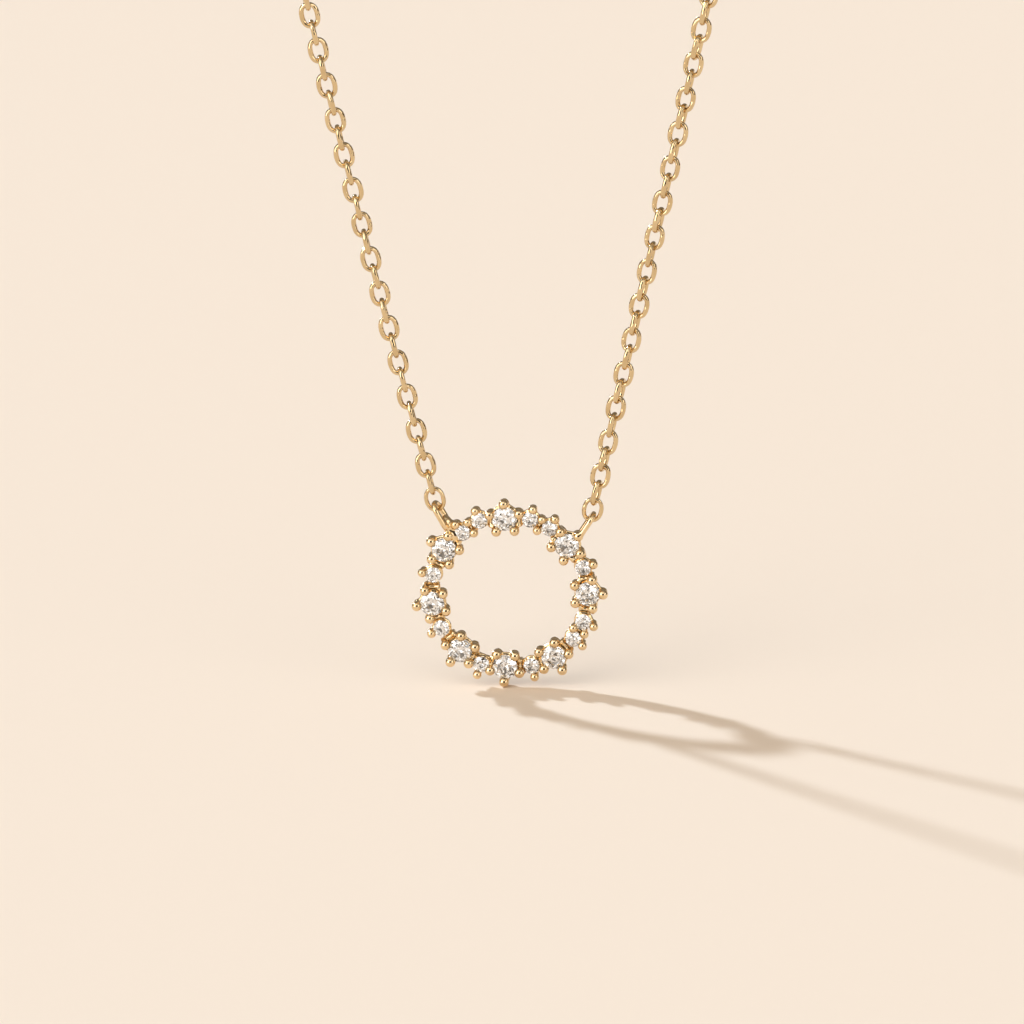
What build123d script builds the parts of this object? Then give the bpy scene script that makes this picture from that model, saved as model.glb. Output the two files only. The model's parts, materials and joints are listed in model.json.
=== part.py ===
"""Open circle pendant with claw-set round stones on a fine oval-link chain.

Millimetres. The chain is a closed loop in the XZ plane, with +Z up and the pendant's front
facing -Y. The origin is on the neck, under the middle of the chain's top.
"""

import os
from math import cos, degrees, pi, radians, sin, tan

from build123d import *

# Pendant: the circle through the stones' middles, and how it hangs
circle_radius = 5.63
pendant_roll = 3.25  # it hangs this many degrees clockwise, seen from the front
hinge_out = 2.29  # from the circle out to where an end link bears in its loop
hinge_angle = 43.24  # each loop lies this far from the pendant's own top
hinge_drop = 194.65  # the loops' bearing points below the neck
girdle_forward = 0.44  # the stones' girdles lie this far in front of the chain

# Round brilliant stones, with their facets as angles and as shares of the diameter
stone_diameters = {"large": 1.75, "small": 1.15}
main_facets = 8
table_share = 0.57
table_corner_cut = 1.02  # the table's edges lie further out, so the main facets cut its corners
girdle_share = 0.04
crown_angle = 34.5
pavilion_angle = 41.0
star_angle = 21.0
upper_girdle_angle = 40.5
lower_girdle_angle = 42.4
culet_share = 0.02

# Setting
stone_gap = 0.02  # between a stone and the metal around it
claw_counts = {"large": 5, "small": 1}
claw_thicknesses = {"large": 0.54, "small": 0.48}
claw_tips = {"large": 0.68, "small": 0.60}
claw_outside = 0.24  # the tip's middle lies this far outside the stone's edge
claw_tip_height = 0.10  # the tip's middle above the girdle
claw_length = 0.98
claw_lean = 14.0
seat_foot_share = 0.62  # the width of the seat's foot, in stone diameters
seat_rim_inside = 0.06  # the seat's rim inside the stone's edge
seat_grip = 0.075  # the seats reach this far into the rail
gallery_wire = 0.24
gallery_below_girdle = 0.46
web_length = 0.90
web_thickness = 0.30
web_below_girdle = 0.14
web_grip = 0.15  # the webs reach this far into the rail
rail_width = 1.10
rail_thickness = 0.30
rail_top = 0.78  # the rail's front face below the girdle
rail_edge = 0.08
light_hole_share = 0.34  # holes behind the stones, in stone diameters
light_hole_past = 0.11  # they start this far behind the rail
pair_claw_out = 0.45  # claws shared by two small stones, outside and inside the circle

# Loops on the pendant
loop_wire = 0.40
loop_radius = 0.60  # of the wire's middle, round each end
loop_straight = 0.90
loop_lean = 28.7
solder_width = 0.60  # the blob of solder from a loop's foot to the rail
solder_rise = 0.04  # the blob's lower end lies this far in front of the rail
solder_inside = 0.30  # and this far inside the rail's outer edge

# Chain and its links
chain_width = 1.50
link_length = 2.03
link_wire = 0.36
link_play = 0.14
link_shift = 0.025  # the end links bear this far to the right, because the pendant hangs rolled
tube_gap = 0.10
bend_share = 0.45  # a bend takes up this share of its shorter run

# Clasp
clasp_radius = 2.0
clasp_wire = 1.0
clasp_height = 1.20
clasp_shift = 0.50
eyelet_radius = 0.60
eyelet_wire = 0.40
eyelet_sink = 0.25
clasp_ring_radius = 0.95
clasp_ring_wire = 0.42
tab_width = 0.60
tab_thickness = 0.50
tab_height = 0.45

# The stones clockwise from the top, as the photograph shows them. room is the free stretch of
# the circle up to the next stone, as a share of all the rooms together, and out is the place
# outside (or inside, below 0) the circle.
first_stone_angle = 93.2  # degrees from the +X axis towards +Z
stone_chart = [
    {"size": "large", "room": 36, "out": -0.03},
    {"size": "small", "room": 35, "out": 0.13},
    {"size": "small", "room": 31, "out": 0.08},
    {"size": "large", "room": 59, "out": -0.12},
    {"size": "small", "room": 55, "out": 0.00},
    {"size": "large", "room": 72, "out": -0.06},
    {"size": "small", "room": 32, "out": 0.00},
    {"size": "small", "room": 56, "out": 0.00},
    {"size": "large", "room": 28, "out": 0.05},
    {"size": "small", "room": 47, "out": 0.03},
    {"size": "large", "room": 25, "out": -0.07},
    {"size": "small", "room": 34, "out": 0.15},
    {"size": "large", "room": 68, "out": 0.03},
    {"size": "small", "room": 50, "out": 0.00},
    {"size": "large", "room": 73, "out": 0.02},
    {"size": "small", "room": 61, "out": 0.00},
    {"size": "large", "room": 41, "out": 0.04},
    {"size": "small", "room": 37, "out": -0.04},
    {"size": "small", "room": 33, "out": 0.18},
]

# One side of the chain from above its end link to beside the clasp. out is the distance from
# the middle of the neck, and z the height. The other side is its mirror image.
chain_route = [
    {"out": 9.85, "z": -176.6},
    {"out": 14.85, "z": -154.5},
    {"out": 21.3, "z": -124.3},
    {"out": 28.8, "z": -86.0},
    {"out": 34.95, "z": -49.6},
    {"out": 36.4, "z": -29.7},
    {"out": 31.9, "z": -17.05},
    {"out": 23.2, "z": -6.85},
    {"out": 11.4, "z": -0.45},
]

os.makedirs("parts", exist_ok=True)

# The pendant's own plane: X to the right, Y to its top and Z out of its front
hinge_height = (circle_radius + hinge_out) * cos(radians(hinge_angle))
hinge_half = (circle_radius + hinge_out) * sin(radians(hinge_angle))
roll = radians(pendant_roll)
middle = Vector(
    -hinge_height * sin(roll), -girdle_forward, -hinge_drop - hinge_height * cos(roll)
)
pendant_plane = Plane(origin=middle, x_dir=(cos(roll), 0, -sin(roll)), z_dir=(0, -1, 0))


def finish(piece, name):
    """Labels a finished piece and writes its file."""
    piece.part.label = name
    export_step(piece.part, f"parts/{name}.step")


def stones_round():
    """The chart's stones with their angles in the pendant's plane, clockwise from the top."""
    free = 2 * pi * circle_radius - sum(stone_diameters[row["size"]] for row in stone_chart)
    rooms = sum(row["room"] for row in stone_chart)
    angle = first_stone_angle + pendant_roll
    stones = []
    for row, following in zip(stone_chart, stone_chart[1:] + stone_chart[:1]):
        stones.append({"size": row["size"], "angle": angle, "out": row["out"]})
        halves = (stone_diameters[row["size"]] + stone_diameters[following["size"]]) / 2
        angle -= degrees((halves + free * row["room"] / rooms) / circle_radius)
    return stones


def place(stone):
    """A stone's place in the pendant's plane, with its X axis pointing out of the circle."""
    distance = circle_radius + stone["out"]
    x = distance * cos(radians(stone["angle"]))
    y = distance * sin(radians(stone["angle"]))
    return Location((x, y, 0), (0, 0, stone["angle"]))


def girdle_half(size):
    """Half of the girdle's thickness."""
    return girdle_share * stone_diameters[size] / 2


def crown_height(size):
    """Height of the crown above the girdle."""
    return stone_diameters[size] * (1 - table_share) / 2 * tan(radians(crown_angle))


def pavilion_depth(size):
    """Depth of the pavilion below the girdle."""
    return stone_diameters[size] * (1 - culet_share) / 2 * tan(radians(pavilion_angle))


def facet_plane(radius, height, angle, turn):
    """A plane through a point at a radius and height, tilted by angle and turned about Z."""
    lean = radians(angle)
    way = radians(turn)
    side = 1 if height >= 0 else -1
    normal = (sin(lean) * cos(way), sin(lean) * sin(way), side * cos(lean))
    return Plane(origin=(radius * cos(way), radius * sin(way), height), z_dir=normal)


def brilliant(size):
    """A round brilliant about Z, with its girdle at the origin and its table up."""
    radius = stone_diameters[size] / 2
    half = girdle_half(size)
    top = half + crown_height(size)
    foot = half + pavilion_depth(size)
    step = 360 / main_facets
    star_radius = radius * table_share * table_corner_cut * cos(radians(step / 2))
    with BuildPart() as stone:
        with Locations((0, 0, -foot)):
            Cylinder(radius, top + foot, align=(Align.CENTER, Align.CENTER, Align.MIN))
        for count in range(main_facets):
            main = step * count
            star = main + step / 2
            split(bisect_by=facet_plane(radius, half, crown_angle, main), keep=Keep.BOTTOM)
            split(bisect_by=facet_plane(radius, -half, pavilion_angle, main), keep=Keep.BOTTOM)
            split(bisect_by=facet_plane(star_radius, top, star_angle, star), keep=Keep.BOTTOM)
            for turn in (main - step / 4, main + step / 4):
                upper = facet_plane(radius, half, upper_girdle_angle, turn)
                lower = facet_plane(radius, -half, lower_girdle_angle, turn)
                split(bisect_by=upper, keep=Keep.BOTTOM)
                split(bisect_by=lower, keep=Keep.BOTTOM)
    return stone.part


def stone_space(size):
    """The stone's room in the metal: its outline turned about Z, wider by the gap all round."""
    half = girdle_half(size) + stone_gap / 2
    radius = stone_diameters[size] / 2 + stone_gap
    top = half + crown_height(size) + stone_gap
    table = radius - (top - half) / tan(radians(crown_angle))
    foot = half + radius * tan(radians(pavilion_angle))
    with BuildPart() as space:
        with BuildSketch(Plane.XZ):
            with BuildLine():
                Polyline(
                    (0, -foot), (radius, -half), (radius, half), (table, top), (0, top), close=True
                )
            make_face()
        revolve(axis=Axis.Z)
    return space.part


def claw(size):
    """One claw with its tip's middle at the origin, leaning away from the stone at -X."""
    with BuildPart() as pin:
        thickness = claw_thicknesses[size]
        Cylinder(thickness / 2, claw_length, align=(Align.CENTER, Align.CENTER, Align.MAX))
        Sphere(claw_tips[size] / 2)
    return pin.part.rotate(Axis.Y, claw_lean)


def seat(size):
    """The metal under one stone: seat, gallery wire and claws, the first claw at +X."""
    diameter = stone_diameters[size]
    depth = rail_top + seat_grip
    foot = seat_foot_share * diameter / 2
    rim = diameter / 2 - seat_rim_inside
    with BuildPart() as metal:
        with Locations((0, 0, -girdle_half(size))):
            Cone(foot, rim, depth, align=(Align.CENTER, Align.CENTER, Align.MAX))
        with Locations((0, 0, -gallery_below_girdle)):
            Torus(diameter / 2, gallery_wire / 2)
        with PolarLocations(diameter / 2 + claw_outside, claw_counts[size]):
            with Locations((0, 0, claw_tip_height)):
                add(claws[size])
    return metal.part


def light_space(size):
    """The hole behind a stone, from its pavilion out through the rail."""
    reach = rail_top + rail_thickness
    with BuildPart() as hole:
        with Locations((0, 0, -reach - light_hole_past)):
            Cylinder(
                light_hole_share * stone_diameters[size] / 2,
                reach,
                align=(Align.CENTER, Align.CENTER, Align.MIN),
            )
    return hole.part


def between(stone, following):
    """The direction, in the pendant's plane, halfway between two neighbours."""
    turn = (stone["angle"] - following["angle"]) % 360
    return stone["angle"] - turn / 2


def loop_frame(side):
    """A chain loop's plane: Y up the loop, X along the pendant's depth, origin at its top arc."""
    way = Vector(side * sin(radians(loop_lean)), cos(radians(loop_lean)), 0)
    bearing = Vector(side * hinge_half, hinge_height, -girdle_forward)
    inside = loop_radius - (loop_wire + link_wire) / 2 - link_play
    depth_way = Vector(0, 0, 1)
    return Plane(origin=bearing - way * inside, x_dir=depth_way, z_dir=depth_way.cross(way))


def ring_of_wire(frame, radius, straight, wire):
    """A long ring of round wire in a plane, with its top arc about the plane's origin."""
    with BuildPart() as ring:
        with BuildLine(frame) as path:
            right = Line((radius, -straight), (radius, 0))
            CenterArc((0, 0), radius, 0, 180)
            Line((-radius, 0), (-radius, -straight))
            CenterArc((0, -straight), radius, 180, 180)
        with BuildSketch(Plane(origin=right @ 0, z_dir=right % 0)):
            Circle(wire / 2)
        sweep(path=path.wire())
    return ring.part


def solder(side):
    """The rounded blob of solder that runs from a loop's foot down to the rail."""
    loop_foot = loop_frame(side).from_local_coords((0, -loop_straight - loop_radius, 0))
    inwards = circle_radius + rail_width / 2 - solder_inside
    across = Vector(loop_foot.X, loop_foot.Y, 0).normalized() * inwards
    on_rail = Vector(across.X, across.Y, solder_rise - rail_top)
    with BuildPart() as blob:
        with BuildLine() as path:
            Line(loop_foot, on_rail)
        with BuildSketch(Plane(origin=loop_foot, z_dir=on_rail - loop_foot)):
            Circle(solder_width / 2)
        sweep(path=path.wire())
        with Locations(loop_foot, on_rail):
            Sphere(solder_width / 2)
    return blob.part


claws = {size: claw(size) for size in stone_diameters}
seats = {size: seat(size) for size in stone_diameters}
stone_spaces = {size: stone_space(size) for size in stone_diameters}
light_spaces = {size: light_space(size) for size in stone_diameters}
stones = stones_round()
places = {size: [place(stone) for stone in stones if stone["size"] == size] for size in seats}
neighbours = list(zip(stones, stones[1:] + stones[:1]))
web_turns = [between(a, b) for a, b in neighbours]
pair_turns = [between(a, b) for a, b in neighbours if a["size"] == b["size"]]
loops = [ring_of_wire(loop_frame(side), loop_radius, loop_straight, loop_wire) for side in (-1, 1)]
solders = [solder(side) for side in (-1, 1)]

# The soldered frame with its two loops, and the stones' room cut out of it
with BuildPart(pendant_plane) as circle_setting:
    with Locations((0, 0, -rail_top)):
        outer = circle_radius + rail_width / 2
        inner = circle_radius - rail_width / 2
        Cylinder(outer, rail_thickness, align=(Align.CENTER, Align.CENTER, Align.MAX))
        Cylinder(
            inner, rail_thickness, align=(Align.CENTER, Align.CENTER, Align.MAX), mode=Mode.SUBTRACT
        )
    fillet(circle_setting.edges(), rail_edge)
    web_height = rail_top + web_grip - web_below_girdle
    with Locations(*[Location((0, 0, -web_below_girdle), (0, 0, turn)) for turn in web_turns]):
        with Locations((circle_radius, 0, 0)):
            Box(
                web_length,
                web_thickness,
                web_height,
                align=(Align.CENTER, Align.CENTER, Align.MAX),
            )
    for size in seats:
        with Locations(*places[size]):
            add(seats[size])
    with Locations(*[Location((0, 0, claw_tip_height), (0, 0, turn)) for turn in pair_turns]):
        with Locations((circle_radius + pair_claw_out, 0, 0)):
            add(claws["small"])
        with Locations(Location((circle_radius - pair_claw_out, 0, 0), (0, 0, 180))):
            add(claws["small"])
    add(loops)
    add(solders)
    for size in seats:
        with Locations(*places[size]):
            add(stone_spaces[size], mode=Mode.SUBTRACT)
            add(light_spaces[size], mode=Mode.SUBTRACT)
finish(circle_setting, "circle_setting")

# The stones, each a copy of its size's brilliant at its own place
for size in places:
    cut_stone = brilliant(size)
    for number, spot in enumerate(places[size], start=1):
        with BuildPart(pendant_plane) as stone:
            with Locations(spot):
                add(cut_stone)
        finish(stone, f"{size}_stone_{number}")


def chain_link(bearing, way, normal):
    """An oval link with its bearing wire's middle at a point, its length along way."""
    radius = (chain_width - link_wire) / 2
    straight = link_length - chain_width
    far_arc = bearing + way * (radius + straight)
    frame = Plane(origin=far_arc, x_dir=normal.cross(way), z_dir=normal * -1)
    return ring_of_wire(frame, radius, straight, link_wire)


def run_radii(points):
    """The largest bend that each corner's runs allow."""
    radii = []
    for before, corner, after in zip(points, points[1:], points[2:]):
        turn = (corner - before).get_angle(after - corner)
        run = min((corner - before).length, (after - corner).length)
        radii.append(bend_share * run / tan(radians(turn / 2)))
    return radii


# Where the chain bears on the pendant's loops and on the clasp
front = Vector(0, -1, 0)
link_reach = link_length - link_wire / 2 + tube_gap
clasp_middle = Vector(clasp_shift, 0, clasp_height)
eyelet_middle = clasp_middle - Vector(
    clasp_radius + clasp_wire / 2 + eyelet_radius + eyelet_wire / 2 - eyelet_sink, 0, 0
)
eyelet_bearing = eyelet_middle - Vector(
    eyelet_radius - (eyelet_wire + link_wire) / 2 - link_play, 0, 0
)
clasp_ring_inside = clasp_ring_radius - clasp_ring_wire / 2
clasp_ring_middle = clasp_middle + Vector(
    clasp_radius - clasp_wire / 2 - link_play + clasp_ring_inside, 0, 0
)
ends = {
    "left": eyelet_bearing - Vector(link_reach, 0, 0),
    "right": clasp_ring_middle + Vector(clasp_ring_radius + clasp_ring_wire / 2 + tube_gap, 0, 0),
}

# Each side of the chain: its end link in the pendant's loop, then one tube on its true route
for name, side in (("left", -1), ("right", 1)):
    in_loop = Vector(side * hinge_half, hinge_height, -girdle_forward)
    bearing = pendant_plane.from_local_coords(in_loop) + Vector(link_shift, 0, 0)
    route = [Vector(side * row["out"], 0, row["z"]) for row in chain_route]
    way = (route[0] - bearing).normalized()
    link = chain_link(bearing, way, front)
    with BuildPart() as end_link:
        add(link)
    finish(end_link, f"end_link_{name}")

    points = [bearing + way * link_reach] + route + [ends[name]]
    radii = run_radii(points)
    with BuildPart() as chain:
        with BuildLine() as path:
            FilletPolyline(*points, radius=radii)
        with BuildSketch(Plane(origin=points[0], z_dir=way)):
            Circle(chain_width / 2)
        sweep(path=path.wire())
    finish(chain, f"chain_{name}")
    length = path.wire().length
    share = chain.part.volume / (pi * chain_width**2 / 4 * length)
    print(name, "length", round(length, 2), "volume share", round(share, 4))
    print("radii", [round(radius, 1) for radius in radii])

# The clasp lies flat against the neck, with its eyelet to the left
with BuildPart() as clasp:
    with Locations(clasp_middle):
        Torus(clasp_radius, clasp_wire / 2)
        with Locations((0, -clasp_radius, 0)):
            Box(
                tab_width,
                tab_thickness,
                clasp_wire / 2 + tab_height,
                align=(Align.CENTER, Align.CENTER, Align.MIN),
            )
    with Locations(eyelet_middle):
        Torus(eyelet_radius, eyelet_wire / 2)
finish(clasp, "clasp")

link = chain_link(eyelet_bearing, Vector(-1, 0, 0), front)
with BuildPart() as clasp_link:
    add(link)
finish(clasp_link, "clasp_link")

with BuildPart() as clasp_ring:
    with Locations(Location(clasp_ring_middle, (90, 0, 0))):
        Torus(clasp_ring_radius, clasp_ring_wire / 2)
finish(clasp_ring, "clasp_ring")
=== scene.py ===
import json
from math import atan2, cos, pi, radians, sin, tan

import bmesh
import bpy
from mathutils import Matrix, Vector


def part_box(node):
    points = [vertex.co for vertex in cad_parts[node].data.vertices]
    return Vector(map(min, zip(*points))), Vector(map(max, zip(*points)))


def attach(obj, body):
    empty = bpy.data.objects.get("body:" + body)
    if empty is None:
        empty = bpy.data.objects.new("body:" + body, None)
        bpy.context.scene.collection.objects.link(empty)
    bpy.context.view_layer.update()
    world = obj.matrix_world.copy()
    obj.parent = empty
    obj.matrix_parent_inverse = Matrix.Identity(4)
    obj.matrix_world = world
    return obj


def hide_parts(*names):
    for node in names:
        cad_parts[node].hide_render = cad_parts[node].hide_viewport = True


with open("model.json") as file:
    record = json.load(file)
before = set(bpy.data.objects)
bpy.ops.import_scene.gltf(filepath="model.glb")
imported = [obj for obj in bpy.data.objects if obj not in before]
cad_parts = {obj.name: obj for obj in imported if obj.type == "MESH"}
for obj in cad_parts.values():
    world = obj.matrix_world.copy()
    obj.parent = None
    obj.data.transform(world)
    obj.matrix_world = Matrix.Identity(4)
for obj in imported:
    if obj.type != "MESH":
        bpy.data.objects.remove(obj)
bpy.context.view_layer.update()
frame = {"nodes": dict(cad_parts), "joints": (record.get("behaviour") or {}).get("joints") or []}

# Where the pendant hangs and how it is seen
# The necklace hangs upright, with its pendant just over a pale table. It is seen a little from
# the right and from above, through a long lens. Sizes are in millimetres, and MM makes them metres.
MM = 0.001
swing = frame["joints"][0]
swing_axis = Vector(swing["axis"])
pendant_up = swing_axis.cross(Vector((0, 1, 0))).normalized()
hinge_above_middle = 5.770 * MM
middle_in_front = 0.44 * MM
circle_middle = Vector(swing["pos_m"]) - pendant_up * hinge_above_middle
circle_middle -= Vector((0, 1, 0)) * middle_in_front
pendant_place = Matrix.Translation(circle_middle) @ Matrix(
    (
        (swing_axis.x, pendant_up.x, 0, 0),
        (swing_axis.y, pendant_up.y, -1, 0),
        (swing_axis.z, pendant_up.z, 0, 0),
        (0, 0, 0, 1),
    )
)
millimetres = Matrix.Scale(MM, 4)

view_azimuth = radians(5)
view_height = radians(18)
view_distance = 0.80
view_roll = radians(-0.67)
frame_pixels = 1024
pixels_per_metre = 14000
circle_pixel = (509.8, 593.5)
sensor = 36.0
away = Vector(
    (
        sin(view_azimuth) * cos(view_height),
        -cos(view_azimuth) * cos(view_height),
        sin(view_height),
    )
)
view_turn = (-away).to_track_quat("-Z", "Y").to_matrix() @ Matrix.Rotation(view_roll, 3, "Z")
aside = (frame_pixels / 2 - circle_pixel[0]) / pixels_per_metre
above = (circle_pixel[1] - frame_pixels / 2) / pixels_per_metre
aim = circle_middle + view_turn @ Vector((aside, above, 0))
camera_data = bpy.data.cameras.new("camera")
camera_data.sensor_width = sensor
camera_data.lens = sensor * view_distance * pixels_per_metre / frame_pixels
camera_data.clip_end = 25 * view_distance
camera = bpy.data.objects.new("camera", camera_data)
camera.matrix_world = Matrix.Translation(aim + away * view_distance) @ view_turn.to_4x4()
bpy.context.scene.collection.objects.link(camera)
bpy.context.scene.camera = camera


# Gold
# Every metal piece is silver, plated with a thin coat of pale yellow gold and polished bright.
# The coat has a faint cloudiness and hair-fine polishing marks, and the links' wire is uneven.
clouds_per_mark = 0.25


def gold_finish(name, thin_coat, thick_coat, mark_size, mark_depth):
    """A polished gold that is paler where its coat is thick, with shallow marks of one size."""
    gold = bpy.data.materials.new(name)
    gold.use_nodes = True
    nodes, links = gold.node_tree.nodes, gold.node_tree.links
    shader = nodes["Principled BSDF"]
    shader.inputs["Metallic"].default_value = 1.0
    where = nodes.new("ShaderNodeTexCoord")
    cloud = nodes.new("ShaderNodeTexNoise")
    cloud.inputs["Scale"].default_value = clouds_per_mark / mark_size
    cloud.inputs["Detail"].default_value = 3.0
    links.new(where.outputs["Object"], cloud.inputs["Vector"])
    tint = nodes.new("ShaderNodeValToRGB")
    tint.color_ramp.elements[0].position = 0.35
    tint.color_ramp.elements[0].color = (*thin_coat, 1)
    tint.color_ramp.elements[1].position = 0.68
    tint.color_ramp.elements[1].color = (*thick_coat, 1)
    links.new(cloud.outputs["Fac"], tint.inputs["Fac"])
    links.new(tint.outputs["Color"], shader.inputs["Base Color"])
    shine = nodes.new("ShaderNodeMapRange")
    shine.inputs["From Min"].default_value = 0.3
    shine.inputs["From Max"].default_value = 0.7
    shine.inputs["To Min"].default_value = 0.03
    shine.inputs["To Max"].default_value = 0.08
    links.new(cloud.outputs["Fac"], shine.inputs["Value"])
    links.new(shine.outputs["Result"], shader.inputs["Roughness"])
    marks = nodes.new("ShaderNodeTexNoise")
    marks.inputs["Scale"].default_value = 1 / mark_size
    marks.inputs["Detail"].default_value = 0.5
    links.new(where.outputs["Object"], marks.inputs["Vector"])
    relief = nodes.new("ShaderNodeBump")
    relief.inputs["Distance"].default_value = mark_depth
    links.new(marks.outputs["Fac"], relief.inputs["Height"])
    links.new(relief.outputs["Normal"], shader.inputs["Normal"])
    return gold


polished_gold = gold_finish(
    "polished_gold", (0.77, 0.57, 0.32), (0.89, 0.70, 0.44), 0.12 * MM, 0.0003 * MM
)
# The links' gold is the same coat, painted darker: painted shade standing in for the dimmer
# surroundings that the links mirror.
drawn_gold_with_painted_shade = gold_finish(
    "drawn_gold_with_painted_shade", (0.67, 0.50, 0.28), (0.77, 0.60, 0.36), 0.40 * MM, 0.09 * MM
)


def finished_piece(name, shape, body, material, sharp_over=None):
    """Turns a shape into a smooth piece that rides on a body, with its sharp edges marked."""
    bmesh.ops.recalc_face_normals(shape, faces=shape.faces)
    for face in shape.faces:
        face.smooth = True
    if sharp_over:
        for edge in shape.edges:
            edge.smooth = edge.calc_face_angle(0) < sharp_over
    mesh = bpy.data.meshes.new(name)
    shape.to_mesh(mesh)
    shape.free()
    mesh.materials.append(material)
    piece = bpy.data.objects.new(name, mesh)
    bpy.context.scene.collection.objects.link(piece)
    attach(piece, body)
    return piece


# The circle's setting
# One casting in plated silver: a flat ring at the back with a seat, a gallery wire and claws for
# each stone, and webs that join the seats. Two long loops are soldered on for the chain.
class Stone:
    """A stone's place in the pendant's own plane, in millimetres, read from the frame."""

    def __init__(self, node):
        low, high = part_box(node)
        spot = pendant_place.inverted() @ ((low + high) / 2) / MM
        self.size = node.split("_")[0]
        self.diameter = (high.x - low.x) / MM
        self.out = Vector((spot.x, spot.y)).length
        self.turn = atan2(spot.y, spot.x)
        self.place = Matrix.Rotation(self.turn, 4, "Z") @ Matrix.Translation((self.out, 0, 0))


stones = [Stone(node) for node in frame["nodes"] if "stone" in node]
stones.sort(key=lambda stone: stone.turn)
neighbours = list(zip(stones, stones[1:] + stones[:1]))

circle_radius = 5.63
rail_width = 0.72
rail_thickness = 0.30
rail_top = 0.78
rail_steps = 144
seat_foot_share = 0.62
seat_sink = 0.10
seat_wall = 0.06
seat_steps = 48
gallery_wire = 0.26
gallery_sides = 12
gallery_below_girdle = 0.46
web_length = 1.10
web_width = 0.36
web_below_girdle = 0.40
bar_length = 1.24
bar_wire = 0.34
bar_foot = 0.62
bar_end_share = 0.6
bar_swell_starts = 0.4
bar_swell_ends = 0.8
bar_steps = 20
bar_below_girdle = 0.27
claw_counts = {"large": 5, "small": 1}
claw_roots = {"large": 0.80, "small": 0.68}
claw_tips = {"large": 0.75, "small": 0.67}
claw_outside = 0.24
claw_tip_height = 0.10
claw_length = 0.80
claw_lean = radians(10)
claw_heel_share = 0.6
bead_turns = [radians(turn) for turn in range(-50, 90, 14)]
claw_steps = 24
pair_claw_out = 0.45
girdle_share = 0.04
crown_slope = tan(radians(34.5))
pavilion_slope = tan(radians(41))
stone_gap = 0.02
light_hole_share = 0.34
crown_room_share = 0.8
hole_past_rail = 0.2
loops_apart = radians(43.24)
loop_wire = 0.40
loop_wire_cast = 0.43
loop_radius = 0.60
loop_straight = 0.90
loop_leans = {-1: radians(33), 1: radians(29.5)}
loop_turns = {-1: radians(-7), 1: 0}
loop_steps = 24
loop_sides = 20
solder_widths = {-1: (0.92, 1.10), 1: (0.52, 0.64)}
solder_rise = 0.42
solders_up_loop = {-1: 0.58, 1: 0.35}
solder_inside = 0.30
solder_turns = [radians(turn) for turn in range(-75, 90, 15)]
solder_steps = 24
setting_grain = 0.068
setting_polish = 4
setting_sharp_edge = radians(50)
merge_size = 1e-5
scrap_size = 1e-4
link_wire = 0.36
link_play = 0.14


def lathe(profile, steps):
    """A closed shape turned about Z from (radius, height) pairs, with both ends on the axis."""
    shape = bmesh.new()
    points = [shape.verts.new((radius, 0, height)) for radius, height in profile]
    edges = [shape.edges.new(pair) for pair in zip(points, points[1:])]
    bmesh.ops.spin(
        shape,
        geom=points + edges,
        cent=(0, 0, 0),
        axis=(0, 0, 1),
        angle=2 * pi,
        steps=steps,
        use_merge=True,
    )
    bmesh.ops.remove_doubles(shape, verts=shape.verts, dist=merge_size)
    bmesh.ops.recalc_face_normals(shape, faces=shape.faces)
    return shape


def ring(radius, wire, steps, sides):
    """A round ring of round wire about Z."""
    shape = bmesh.new()
    at_right = Matrix.Translation((radius, 0, 0)) @ Matrix.Rotation(pi / 2, 4, "X")
    section = bmesh.ops.create_circle(shape, segments=sides, radius=wire / 2, matrix=at_right)
    bmesh.ops.spin(
        shape,
        geom=section["verts"] + shape.edges[:],
        cent=(0, 0, 0),
        axis=(0, 0, 1),
        angle=2 * pi,
        steps=steps,
        use_merge=True,
    )
    bmesh.ops.recalc_face_normals(shape, faces=shape.faces)
    return shape


def long_ring(radius, straight, wire, steps, sides):
    """A ring of round wire in the XY plane, long along Y, with its top arc about the origin."""
    shape = bmesh.new()
    at_right = Matrix.Translation((radius, 0, 0)) @ Matrix.Rotation(pi / 2, 4, "X")
    section = bmesh.ops.create_circle(shape, segments=sides, radius=wire / 2, matrix=at_right)
    first = shape.edges[:]
    last = section["verts"] + first
    for height, drop in ((0, -straight), (-straight, 0)):
        arc = bmesh.ops.spin(
            shape, geom=last, cent=(0, height, 0), axis=(0, 0, 1), angle=pi, steps=steps
        )
        last = arc["geom_last"]
        if drop:
            edges = [part for part in last if isinstance(part, bmesh.types.BMEdge)]
            run = bmesh.ops.extrude_edge_only(shape, edges=edges)["geom"]
            points = [part for part in run if isinstance(part, bmesh.types.BMVert)]
            bmesh.ops.translate(shape, verts=points, vec=(0, drop, 0))
            edges = [part for part in run if isinstance(part, bmesh.types.BMEdge)]
            last = points + [e for e in edges if all(end in points for end in e.verts)]
    ends = [part for part in last if isinstance(part, bmesh.types.BMEdge)]
    bmesh.ops.bridge_loops(shape, edges=first + ends)
    bmesh.ops.recalc_face_normals(shape, faces=shape.faces)
    return shape


def claw_shape(size):
    """One claw with its tip's middle at the origin: a tapered pin that swells into a bead."""
    root = claw_roots[size] / 2
    tip = claw_tips[size] / 2
    bead = [(tip * cos(turn), tip * sin(turn)) for turn in bead_turns]
    heel = [
        (0, -claw_length),
        (claw_heel_share * root, -claw_length),
        (root, -claw_length + root / 2),
    ]
    return lathe(heel + bead + [(0, tip)], claw_steps)


def joined(parts):
    """One shape made of (shape, places) pairs, with each shape repeated at its places."""
    whole = bmesh.new()
    for shape, places in parts:
        mesh = bpy.data.meshes.new("part")
        shape.to_mesh(mesh)
        shape.free()
        for spot in places:
            before = len(whole.verts)
            whole.from_mesh(mesh)
            whole.verts.ensure_lookup_table()
            bmesh.ops.transform(whole, matrix=spot, verts=whole.verts[before:])
        bpy.data.meshes.remove(mesh)
    return whole


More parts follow.
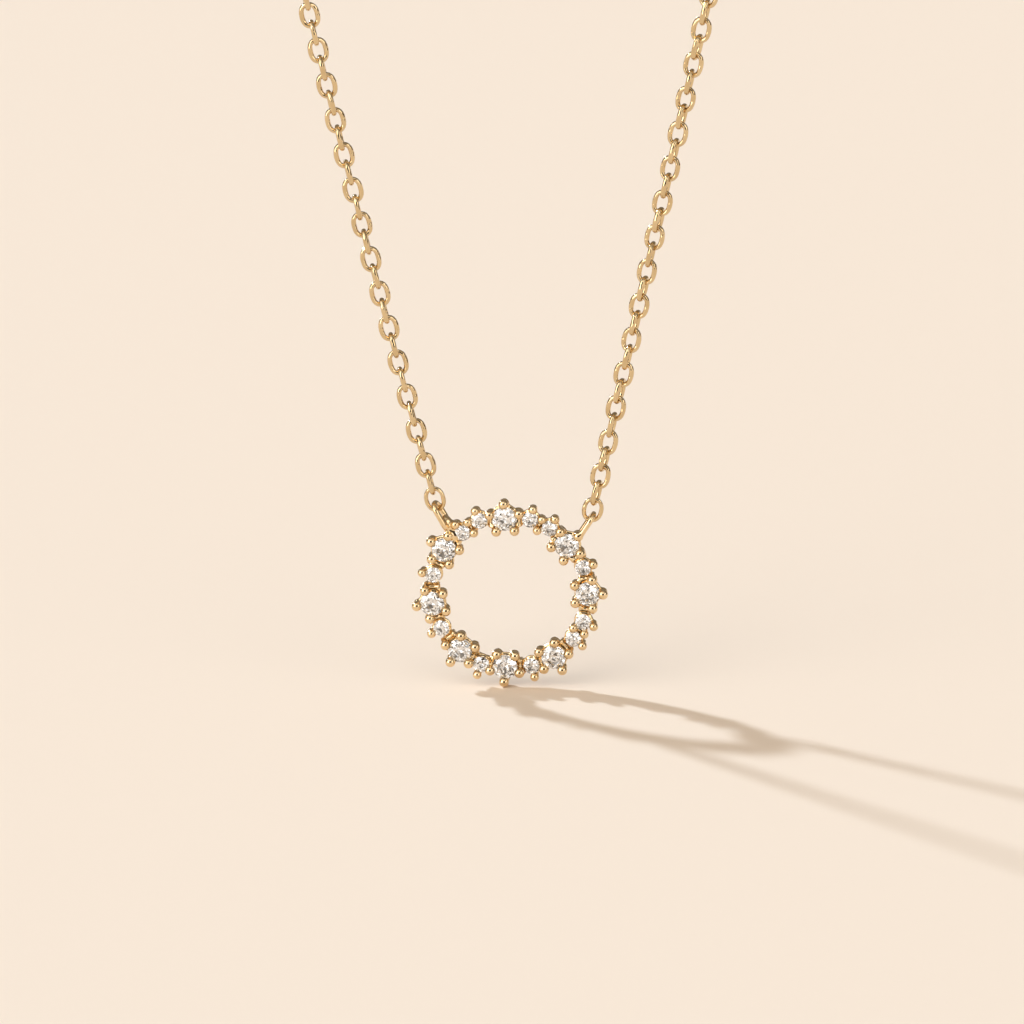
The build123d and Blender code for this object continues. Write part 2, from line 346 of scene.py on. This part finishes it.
def leaning_claw(out, turn):
    """A claw's place: its tip's middle out along a direction, leaning outwards."""
    way = Matrix.Rotation(turn, 4, "Z")
    return way @ Matrix.Translation((out, 0, claw_tip_height)) @ Matrix.Rotation(claw_lean, 4, "Y")


def between(stone, following):
    """The turn about the circle's middle where the gap between two stones has its middle."""
    apart = (following.turn - stone.turn) % (2 * pi)
    return stone.turn + apart / 2 + (stone.diameter - following.diameter) / 4 / circle_radius


# Five claws stand round each large stone. A small one has its own outer claw, and shares a pair
# with a small neighbour, or its large neighbour's claws.
claw_places = {"large": [], "small": []}
for stone in stones:
    count = claw_counts[stone.size]
    for number in range(count):
        spot = leaning_claw(stone.diameter / 2 + claw_outside, 2 * pi * number / count)
        claw_places[stone.size].append(stone.place @ spot)
for stone, following in neighbours:
    if stone.size == following.size:
        way = Matrix.Rotation(between(stone, following), 4, "Z")
        outer = Matrix.Translation((circle_radius, 0, 0)) @ leaning_claw(pair_claw_out, 0)
        inner = Matrix.Translation((circle_radius, 0, 0)) @ leaning_claw(pair_claw_out, pi)
        claw_places["small"] += [way @ outer, way @ inner]

# The flat rail at the back
rail_half = rail_width / 2
rail_foot = -rail_top - rail_thickness
rail = bmesh.new()
corners = [
    rail.verts.new((circle_radius + side * rail_half, 0, height))
    for side, height in ((-1, -rail_top), (1, -rail_top), (1, rail_foot), (-1, rail_foot))
]
edges = [rail.edges.new(pair) for pair in zip(corners, corners[1:] + corners[:1])]
bmesh.ops.spin(
    rail,
    geom=corners + edges,
    cent=(0, 0, 0),
    axis=(0, 0, 1),
    angle=2 * pi,
    steps=rail_steps,
    use_merge=True,
)
bmesh.ops.recalc_face_normals(rail, faces=rail.faces)

# The seats, the gallery wires round them, and the claws
parts = [(rail, [Matrix.Identity(4)])]
for size in ("large", "small"):
    places = [stone.place for stone in stones if stone.size == size]
    diameter = max(stone.diameter for stone in stones if stone.size == size)
    rim = -girdle_share * diameter / 2
    seat_foot = -rail_top - seat_sink
    seat = [
        (0, seat_foot),
        (seat_foot_share * diameter / 2, seat_foot),
        (diameter / 2 - seat_wall, rim),
        (0, rim),
    ]
    parts.append((lathe(seat, seat_steps), places))
    lower = Matrix.Translation((0, 0, -gallery_below_girdle))
    gallery = ring(diameter / 2, gallery_wire, seat_steps, gallery_sides)
    parts.append((gallery, [place @ lower for place in places]))
    parts.append((claw_shape(size), claw_places[size]))

# The webs between the seats, with a thin bar over each that swells at both ends
web = bmesh.new()
bmesh.ops.create_cube(web, size=1)
web_height = rail_top - web_below_girdle + rail_thickness / 2
middle_height = -web_below_girdle - web_height / 2
stretch = Matrix.Diagonal((web_length, web_width, web_height, 1))
on_circle = Matrix.Translation((circle_radius, 0, middle_height))
bmesh.ops.transform(web, matrix=on_circle @ stretch, verts=web.verts)
parts.append((web, [Matrix.Rotation(between(*pair), 4, "Z") for pair in neighbours]))
half_bar = bar_length / 2
bar = lathe(
    [
        (0, -half_bar),
        (bar_end_share * bar_foot / 2, -half_bar),
        (bar_foot / 2, -bar_swell_ends * half_bar),
        (bar_wire / 2, -bar_swell_starts * half_bar),
        (bar_wire / 2, bar_swell_starts * half_bar),
        (bar_foot / 2, bar_swell_ends * half_bar),
        (bar_end_share * bar_foot / 2, half_bar),
        (0, half_bar),
    ],
    bar_steps,
)
lying = Matrix.Translation((circle_radius, 0, -bar_below_girdle)) @ Matrix.Rotation(pi / 2, 4, "Y")
parts.append((bar, [Matrix.Rotation(between(*pair), 4, "Z") @ lying for pair in neighbours]))

# The two loops, each with the solder that runs from its foot to the rail
hinge_height = hinge_above_middle / MM
hinge_half = hinge_height * tan(loops_apart)
loops = []
for side in (-1, 1):
    up = Vector((side * sin(loop_leans[side]), cos(loop_leans[side]), 0))
    bearing = Vector((side * hinge_half, hinge_height, -middle_in_front / MM))
    arc_middle = bearing - up * (loop_radius - (loop_wire + link_wire) / 2 - link_play)
    depth = Vector((0, 0, 1))
    upright = Matrix((depth, up, depth.cross(up))).transposed().to_4x4()
    turned = Matrix.Rotation(loop_turns[side], 4, "Y")
    loops.append(Matrix.Translation(arc_middle) @ upright @ turned)
    foot = arc_middle - up * (loop_straight + loop_radius)
    inwards = circle_radius + rail_width / 2 - solder_inside
    on_rail = Vector((foot.x, foot.y, 0)).normalized() * inwards
    on_rail.z = solder_rise - rail_top
    foot += up * solders_up_loop[side]
    run = on_rail - foot
    first, last = [width / 2 for width in solder_widths[side]]
    blob = [(0, -first)]
    blob += [(first * cos(turn), first * sin(turn)) for turn in solder_turns if turn <= 0]
    blob += [
        (last * cos(turn), run.length + last * sin(turn)) for turn in solder_turns if turn >= 0
    ]
    blob.append((0, run.length + last))
    way = run.to_track_quat("Z", "Y").to_matrix().to_4x4()
    parts.append((lathe(blob, solder_steps), [Matrix.Translation(foot) @ way]))
loop = long_ring(loop_radius, loop_straight, loop_wire_cast, loop_steps, loop_sides)
parts.append((loop, loops))


def clear_crumbs(shape):
    """Clears what cutting leaves: points midway along an edge, folds and loose scraps."""
    bmesh.ops.remove_doubles(shape, verts=shape.verts, dist=scrap_size)
    bmesh.ops.dissolve_degenerate(shape, edges=shape.edges, dist=scrap_size)
    midway = [point for point in shape.verts if len(point.link_edges) == 2]
    bmesh.ops.dissolve_verts(shape, verts=midway)
    unseen = set(shape.verts)
    shells = []
    while unseen:
        waiting = [unseen.pop()]
        shell = []
        while waiting:
            point = waiting.pop()
            shell.append(point)
            for edge in point.link_edges:
                other = edge.other_vert(point)
                if other in unseen:
                    unseen.remove(other)
                    waiting.append(other)
        shells.append(shell)
    shells.sort(key=len)
    crumbs = [point for shell in shells[:-1] for point in shell]
    bmesh.ops.delete(shape, geom=crumbs, context="VERTS")


def soldered(shape, grain, rounds, room=None):
    """One smooth skin round all of a shape's parts, with another shape's space cut out."""
    made_of = []
    for name, part in (("metal", shape), ("room", room)):
        if part is None:
            continue
        mesh = bpy.data.meshes.new(name)
        part.to_mesh(mesh)
        part.free()
        made_of.append(bpy.data.objects.new(name, mesh))
        bpy.context.scene.collection.objects.link(made_of[-1])
    metal = made_of[0]
    cast = metal.modifiers.new("cast", "REMESH")
    cast.mode = "VOXEL"
    cast.voxel_size = grain
    polish = metal.modifiers.new("polish", "SMOOTH")
    polish.factor = 0.5
    polish.iterations = rounds
    if room is not None:
        setting_out = metal.modifiers.new("setting_out", "BOOLEAN")
        setting_out.operation = "DIFFERENCE"
        setting_out.solver = "MANIFOLD"
        setting_out.object = made_of[1]
    finished = metal.evaluated_get(bpy.context.evaluated_depsgraph_get())
    skin = bmesh.new()
    skin.from_mesh(finished.to_mesh())
    finished.to_mesh_clear()
    for used in made_of:
        bpy.data.objects.remove(used)
    clear_crumbs(skin)
    return skin


# The room for each stone, with its light hole, is cut out of the soldered metal
cutters = []
for size in ("large", "small"):
    places = [stone.place for stone in stones if stone.size == size]
    diameter = max(stone.diameter for stone in stones if stone.size == size)
    half = girdle_share * diameter / 2 + stone_gap / 2
    wide = diameter / 2 + stone_gap
    hole = light_hole_share * diameter / 2
    top = half + crown_room_share * wide * crown_slope
    hole_foot = rail_foot - hole_past_rail
    profile = [
        (0, hole_foot),
        (hole, hole_foot),
        (hole, -half - (wide - hole) * pavilion_slope),
        (wide, -half),
        (wide, half),
        ((1 - crown_room_share) * wide, top),
        (0, top),
    ]
    cutters.append((lathe(profile, seat_steps), places))
setting_shape = soldered(joined(parts), setting_grain, setting_polish, joined(cutters))
bmesh.ops.transform(setting_shape, matrix=pendant_place @ millimetres, verts=setting_shape.verts)
setting = finished_piece(
    "setting", setting_shape, "pendant", polished_gold, setting_sharp_edge
)
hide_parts("circle_setting")


# The stones
# Nineteen clear round brilliants in two sizes, with polished facets all round. Each sits on its
# seat's rim, with the claw tips pressed over its girdle. The facets' finer cuts are tilts of the
# surface, too small to be in the shape.
stone_index = 2.4
haze_size = 1.25 * MM
fine_cut_size = 0.36 * MM
fine_cut_tilt = 0.14
clear_stone = bpy.data.materials.new("clear_stone")
clear_stone.use_nodes = True
stone_nodes, stone_links = clear_stone.node_tree.nodes, clear_stone.node_tree.links
stone_shader = stone_nodes["Principled BSDF"]
stone_shader.inputs["IOR"].default_value = stone_index
stone_shader.inputs["Transmission Weight"].default_value = 1.0
where_in_stone = stone_nodes.new("ShaderNodeTexCoord").outputs["Object"]
haze = stone_nodes.new("ShaderNodeTexNoise")
haze.inputs["Scale"].default_value = 1 / haze_size
haze.inputs["Detail"].default_value = 2.0
stone_links.new(where_in_stone, haze.inputs["Vector"])
clearness = stone_nodes.new("ShaderNodeValToRGB")
clearness.color_ramp.elements[0].position = 0.30
clearness.color_ramp.elements[0].color = (0.965, 0.975, 0.985, 1)
clearness.color_ramp.elements[1].position = 0.60
clearness.color_ramp.elements[1].color = (0.99, 0.995, 1.0, 1)
stone_links.new(haze.outputs["Fac"], clearness.inputs["Fac"])
stone_links.new(clearness.outputs["Color"], stone_shader.inputs["Base Color"])
dullness = stone_nodes.new("ShaderNodeMapRange")
dullness.inputs["From Min"].default_value = 0.55
dullness.inputs["From Max"].default_value = 0.75
dullness.inputs["To Min"].default_value = 0.0
dullness.inputs["To Max"].default_value = 0.02
stone_links.new(haze.outputs["Fac"], dullness.inputs["Value"])
stone_links.new(dullness.outputs["Result"], stone_shader.inputs["Roughness"])
fine_cuts = stone_nodes.new("ShaderNodeTexVoronoi")
fine_cuts.inputs["Scale"].default_value = 1 / fine_cut_size
stone_links.new(where_in_stone, fine_cuts.inputs["Vector"])
tilt = stone_nodes.new("ShaderNodeVectorMath")
tilt.operation = "MULTIPLY_ADD"
tilt.inputs[1].default_value = (fine_cut_tilt,) * 3
tilt.inputs[2].default_value = (-fine_cut_tilt / 2,) * 3
stone_links.new(fine_cuts.outputs["Color"], tilt.inputs[0])
tilted = stone_nodes.new("ShaderNodeVectorMath")
stone_links.new(stone_nodes.new("ShaderNodeNewGeometry").outputs["Normal"], tilted.inputs[0])
stone_links.new(tilt.outputs["Vector"], tilted.inputs[1])
facing = stone_nodes.new("ShaderNodeVectorMath")
facing.operation = "NORMALIZE"
stone_links.new(tilted.outputs["Vector"], facing.inputs[0])
stone_links.new(facing.outputs["Vector"], stone_shader.inputs["Normal"])
for node, piece in frame["nodes"].items():
    if "stone" in node:
        piece.data.materials.clear()
        piece.data.materials.append(clear_stone)
        for face in piece.data.polygons:
            face.use_smooth = False


# The chain
# Oval links of round wire in plated silver, each closed with solder and turned a quarter from
# its neighbours. Each side hangs a little twisted, and its last link passes through a loop of the
# pendant.
link_length = 2.00
chain_width = 1.43
pitch = 1.308
common_wire = 0.39
end_link_width = 1.54
end_link_wire = 0.34
bend_steps = 5
wire_sides = 6
section_shrink = 0.87
bend_shrink = 0.955
twists = {"left": radians(-9), "right": radians(14)}
uneven_twist = radians(5)
uneven_step = 1.9
link_shifts = {"left": -0.035, "right": 0.035}
# How far out and how high a side's route passes, on its way from the pendant to the clasp
upper_route = [
    (21.3, -124.3),
    (28.8, -86.0),
    (34.95, -49.6),
    (36.4, -29.7),
    (31.9, -17.05),
    (23.2, -6.85),
    (11.4, -0.45),
]
chain_routes = {
    "left": [(9.85, -176.6), (14.8, -154.5)] + upper_route,
    "right": [(9.6, -176.6), (14.5, -154.5)] + upper_route,
}
route_fineness = 48
clasp_height = 1.20
clasp_ring_wire = 0.42
clasp_ring_play = 0.02


def followed(points):
    """The smooth line through a side's route: evenly read points, in millimetres."""
    line = bpy.data.curves.new("line", "CURVE")
    line.dimensions = "3D"
    line.resolution_u = route_fineness
    spline = line.splines.new("NURBS")
    spline.points.add(len(points) - 1)
    for control, point in zip(spline.points, points):
        control.co = (*point, 1)
    spline.order_u = 3
    spline.use_endpoint_u = True
    guide = bpy.data.objects.new("guide", line)
    bpy.context.scene.collection.objects.link(guide)
    mesh = bpy.data.meshes.new_from_object(guide)
    read = [point.co.copy() for point in mesh.vertices]
    bpy.data.objects.remove(guide)
    bpy.data.meshes.remove(mesh)
    return read


def along(points, distance):
    """The point at a distance along a line of points."""
    for start, end in zip(points, points[1:]):
        step = (end - start).length
        if distance <= step:
            return start.lerp(end, distance / step)
        distance -= step
    return points[-1]


def link_place(near, far, turn):
    """A link's place, with its far arc towards far and its plane turned about its length."""
    way = (far - near).normalized()
    front = Vector((0, -1, 0))
    across = front.cross(way).normalized()
    face = across.cross(way)
    upright = Matrix((across, way, face * -1)).transposed().to_4x4()
    return Matrix.Translation((near + far) / 2) @ upright @ Matrix.Rotation(turn, 4, "Y")


def link_shape(width, wire):
    """One oval link about the origin, long along Y, with room for what its rounding takes off."""
    radius = (width - link_wire) / 2 / bend_shrink
    straight = link_length - width
    shape = long_ring(radius, straight, wire / section_shrink, bend_steps, wire_sides)
    bmesh.ops.translate(shape, verts=shape.verts, vec=(0, straight / 2, 0))
    return shape


hook = link_length - link_wire
links_made = {}
for name, side in (("left", -1), ("right", 1)):
    in_loop = Vector((side * hinge_half, hinge_height, -middle_in_front / MM))
    bearing = (pendant_place @ (in_loop * MM)) / MM + Vector((link_shifts[name], 0, 0))
    if name == "left":
        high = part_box("clasp_link")[1]
        goal = Vector((high.x / MM - link_wire / 2, 0, clasp_height))
        ends_turned = False
    else:
        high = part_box("clasp_ring")[1]
        ring_inside = high.x / MM - clasp_ring_wire
        goal = Vector((ring_inside - link_wire / 2 - clasp_ring_play, 0, clasp_height))
        ends_turned = True
    route = [bearing] + [Vector((side * out, 0, height)) for out, height in chain_routes[name]]
    line = followed(route + [goal])
    whole = sum((b - a).length for a, b in zip(line, line[1:]))
    gaps = 2 * round((whole - hook) / pitch / 2 - ends_turned / 2) + ends_turned
    step = (whole - hook) / gaps
    places = []
    for number in range(gaps + 1):
        near = along(line, number * step)
        far = along(line, number * step + hook)
        sway = twists[name] + uneven_twist * sin(uneven_step * number + side)
        turn = (pi / 2 if number % 2 else 0) + (sway if 0 < number < gaps else 0)
        places.append(link_place(near, far, turn))
    links_made[name] = places

for name, places in links_made.items():
    ends = (link_shape(end_link_width, end_link_wire), places[:1])
    chain = joined([ends, (link_shape(chain_width, common_wire), places[1:])])
    bmesh.ops.transform(chain, matrix=millimetres, verts=chain.verts)
    chain = finished_piece(f"{name}_links", chain, "chain", drawn_gold_with_painted_shade)
    rounded = chain.modifiers.new("rounded", "SUBSURF")
    rounded.levels = rounded.render_levels = 1
    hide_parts(f"chain_{name}", f"end_link_{name}")
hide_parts("clasp_link")


# The clasp
# A spring ring in plated silver: a hollow tube with a collar at each end, the thin gate wire that
# slides in it, and the gate's thumb catch. An eyelet is soldered on its left.
clasp_shift = 0.50
clasp_radius = 2.0
clasp_wire = 1.0
clasp_sides = 24
tube_steps = 72
gate_wire = 0.66
gate_starts = radians(40)
gate_length = radians(62)
gate_steps = 18
collar_wire = 1.14
collar_length = radians(9)
collar_steps = 3
catch_at = radians(-90)
catch_size = (0.52, 0.42, 0.60)
catch_rise = 0.62
catch_round = 0.12
eyelet_radius = 0.60
eyelet_wire = 0.40
eyelet_sink = 0.25
clasp_grain = 0.05
clasp_polish = 2
ring_steps = 48
ring_sides = 20


def bent_bar(radius, wire, start, turn, steps):
    """A round bar with closed ends, bent about Z from one angle through another."""
    shape = bmesh.new()
    at_right = Matrix.Translation((radius, 0, 0)) @ Matrix.Rotation(pi / 2, 4, "X")
    section = bmesh.ops.create_circle(
        shape, segments=clasp_sides, radius=wire / 2, matrix=at_right, cap_ends=True
    )
    geometry = section["verts"] + shape.edges[:] + shape.faces[:]
    bmesh.ops.spin(
        shape,
        geom=geometry,
        cent=(0, 0, 0),
        axis=(0, 0, 1),
        angle=turn,
        steps=steps,
        use_duplicate=False,
    )
    started = Matrix.Rotation(start, 3, "Z")
    bmesh.ops.rotate(shape, verts=shape.verts, cent=(0, 0, 0), matrix=started)
    bmesh.ops.recalc_face_normals(shape, faces=shape.faces)
    return shape


here = [Matrix.Identity(4)]
gate_ends = gate_starts + gate_length
collar_starts = gate_starts - collar_length
gate_reach = gate_length + 2 * collar_length
tube = bent_bar(clasp_radius, clasp_wire, gate_ends, 2 * pi - gate_length, tube_steps)
gate = bent_bar(clasp_radius, gate_wire, collar_starts, gate_reach, gate_steps)
lower_collar = bent_bar(clasp_radius, collar_wire, collar_starts, collar_length, collar_steps)
upper_collar = bent_bar(clasp_radius, collar_wire, gate_ends, collar_length, collar_steps)
catch = bmesh.new()
bmesh.ops.create_cube(catch, size=1, matrix=Matrix.Diagonal((*catch_size, 1)))
bmesh.ops.bevel(
    catch,
    geom=catch.edges[:],
    offset=catch_round,
    offset_type="OFFSET",
    affect="EDGES",
    segments=3,
    profile=0.5,
    material=-1,
)
catch_out = Matrix.Translation((clasp_radius, 0, catch_rise))
quarter = Matrix.Rotation(pi / 2, 4, "Z")
catch_place = Matrix.Rotation(catch_at, 4, "Z") @ catch_out @ quarter
eyelet_out = clasp_radius + clasp_wire / 2 + eyelet_radius + eyelet_wire / 2 - eyelet_sink
eyelet_place = Matrix.Translation((-eyelet_out, 0, 0))
clasp_parts = [(bar, here) for bar in (tube, gate, lower_collar, upper_collar)]
clasp_parts.append((catch, [catch_place]))
eyelet = ring(eyelet_radius, eyelet_wire, ring_steps, ring_sides)
clasp_parts.append((eyelet, [eyelet_place]))
clasp_middle = Matrix.Translation((clasp_shift, 0, clasp_height))
clasp_shape = soldered(joined(clasp_parts), clasp_grain, clasp_polish)
bmesh.ops.transform(clasp_shape, matrix=millimetres @ clasp_middle, verts=clasp_shape.verts)
clasp = finished_piece("spring_ring_clasp", clasp_shape, "chain", polished_gold)
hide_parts("clasp")


# The clasp's ring
# One round ring of silver wire, plated like the rest, soldered shut round the clasp. The seam
# shows as a slight swelling.
clasp_ring_radius = 0.95
clasp_ring_steps = 64
clasp_ring_grain = 0.04
clasp_ring_polish = 3
seam_length = radians(24)
seam_wire = 0.48
seam_at = radians(70)
seam_steps = 6
ring_low, ring_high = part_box("clasp_ring")
ring_middle = (ring_low + ring_high) / 2 / MM
upright_ring = Matrix.Translation(ring_middle) @ Matrix.Rotation(pi / 2, 4, "X")
seam = bent_bar(clasp_ring_radius, seam_wire, seam_at, seam_length, seam_steps)
round_wire = ring(clasp_ring_radius, clasp_ring_wire, clasp_ring_steps, ring_sides)
ring_parts = [(round_wire, here), (seam, here)]
ring_shape = soldered(joined(ring_parts), clasp_ring_grain, clasp_ring_polish)
bmesh.ops.transform(ring_shape, matrix=millimetres @ upright_ring, verts=ring_shape.verts)
clasp_ring = finished_piece("soldered_ring", ring_shape, "chain", polished_gold)
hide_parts("clasp_ring")


# The table and the light
# A plain pale table with a matt coat of paint. A low sun stands behind it on the left, and the
# room gives an even light that the gold and the stones mirror.
table_colour = (0.86, 0.72, 0.575, 1)
table_size = 6.0
table_below = 0.05 * MM
wall_colour = (0.23, 0.205, 0.18, 1)
dark_colour = (0.10, 0.08, 0.06)
pendant_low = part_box("circle_setting")[0]
table_shape = bmesh.new()
bmesh.ops.create_grid(table_shape, x_segments=1, y_segments=1, size=table_size / 2)
table_height = pendant_low.z - table_below
bmesh.ops.translate(table_shape, verts=table_shape.verts, vec=(0, 0, table_height))
table_mesh = bpy.data.meshes.new("table")
table_shape.to_mesh(table_mesh)
table_shape.free()
table = bpy.data.objects.new("table", table_mesh)
bpy.context.scene.collection.objects.link(table)
paint = bpy.data.materials.new("table_paint")
paint.use_nodes = True
paint_shader = paint.node_tree.nodes["Principled BSDF"]
paint_shader.inputs["Base Color"].default_value = table_colour
paint_shader.inputs["Roughness"].default_value = 0.85
table_mesh.materials.append(paint)

sun_way = Vector((19.6, -14.4, -14.3)).normalized()
sun_data = bpy.data.lights.new("sun", "SUN")
sun_data.energy = 3.3
sun_data.color = (0.70, 0.83, 1.0)
sun_data.angle = radians(3.5)
sun = bpy.data.objects.new("sun", sun_data)
sun.rotation_euler = sun_way.to_track_quat("-Z", "Y").to_euler()
bpy.context.scene.collection.objects.link(sun)

room_light = bpy.data.worlds.new("room")
bpy.context.scene.world = room_light
room_light.use_nodes = True
room_nodes, room_links = room_light.node_tree.nodes, room_light.node_tree.links
background = room_nodes["Background"]
direction = room_nodes.new("ShaderNodeTexCoord").outputs["Generated"]


def patch(light_before, way, half_angle, edge, colour):
    """The room's light with one more round patch of a colour, which fades out over its edge."""
    dot = room_nodes.new("ShaderNodeVectorMath")
    dot.operation = "DOT_PRODUCT"
    dot.inputs[1].default_value = Vector(way).normalized()
    room_links.new(direction, dot.inputs[0])
    fade = room_nodes.new("ShaderNodeMapRange")
    fade.interpolation_type = "SMOOTHSTEP"
    fade.inputs["From Min"].default_value = cos(radians(half_angle + edge))
    fade.inputs["From Max"].default_value = cos(radians(half_angle))
    room_links.new(dot.outputs["Value"], fade.inputs["Value"])
    mix = room_nodes.new("ShaderNodeMix")
    mix.data_type = "RGBA"
    before, patched = mix.inputs[6], mix.inputs[7]
    patched.default_value = (*colour, 1)
    room_links.new(fade.outputs["Result"], mix.inputs["Factor"])
    if light_before is None:
        before.default_value = wall_colour
    else:
        room_links.new(light_before, before)
    return mix.outputs[2]


# A paler wall with a wide soft lamp, three smaller lamps, and four dark places between them, of
# which the last is behind the viewer
light = None
for way, half_angle, edge, colour in (
    ((0.0, -1.0, 0.24), 68, 20, (0.54, 0.48, 0.42)),
    ((0.05, -1.0, 0.24), 50, 12, (1.60, 1.52, 1.43)),
    ((-0.78, -0.66, 0.34), 17, 8, (3.4, 3.2, 3.0)),
    ((-0.6, -0.3, 0.75), 11, 7, (2.0, 1.95, 1.9)),
    ((0.75, -0.35, 0.45), 9, 6, (2.0, 1.9, 1.8)),
    ((0.55, -0.6, 0.85), 9, 5, dark_colour),
    ((-0.95, -0.05, 0.4), 9, 5, dark_colour),
    ((0.95, -0.3, 0.0), 10, 5, dark_colour),
    (away, 24, 5, (0.05, 0.04, 0.03)),
):
    light = patch(light, way, half_angle, edge, colour)
room_links.new(light, background.inputs["Color"])
clutter = room_nodes.new("ShaderNodeTexNoise")
clutter.inputs["Scale"].default_value = 6.0
clutter.inputs["Detail"].default_value = 1.0
room_links.new(direction, clutter.inputs["Vector"])
brightness = room_nodes.new("ShaderNodeMapRange")
brightness.inputs["From Min"].default_value = 0.36
brightness.inputs["From Max"].default_value = 0.64
brightness.inputs["To Min"].default_value = 0.75
brightness.inputs["To Max"].default_value = 1.40
room_links.new(clutter.outputs["Fac"], brightness.inputs["Value"])
room_links.new(brightness.outputs["Result"], background.inputs["Strength"])
bpy.context.scene.view_settings.view_transform = "Standard"
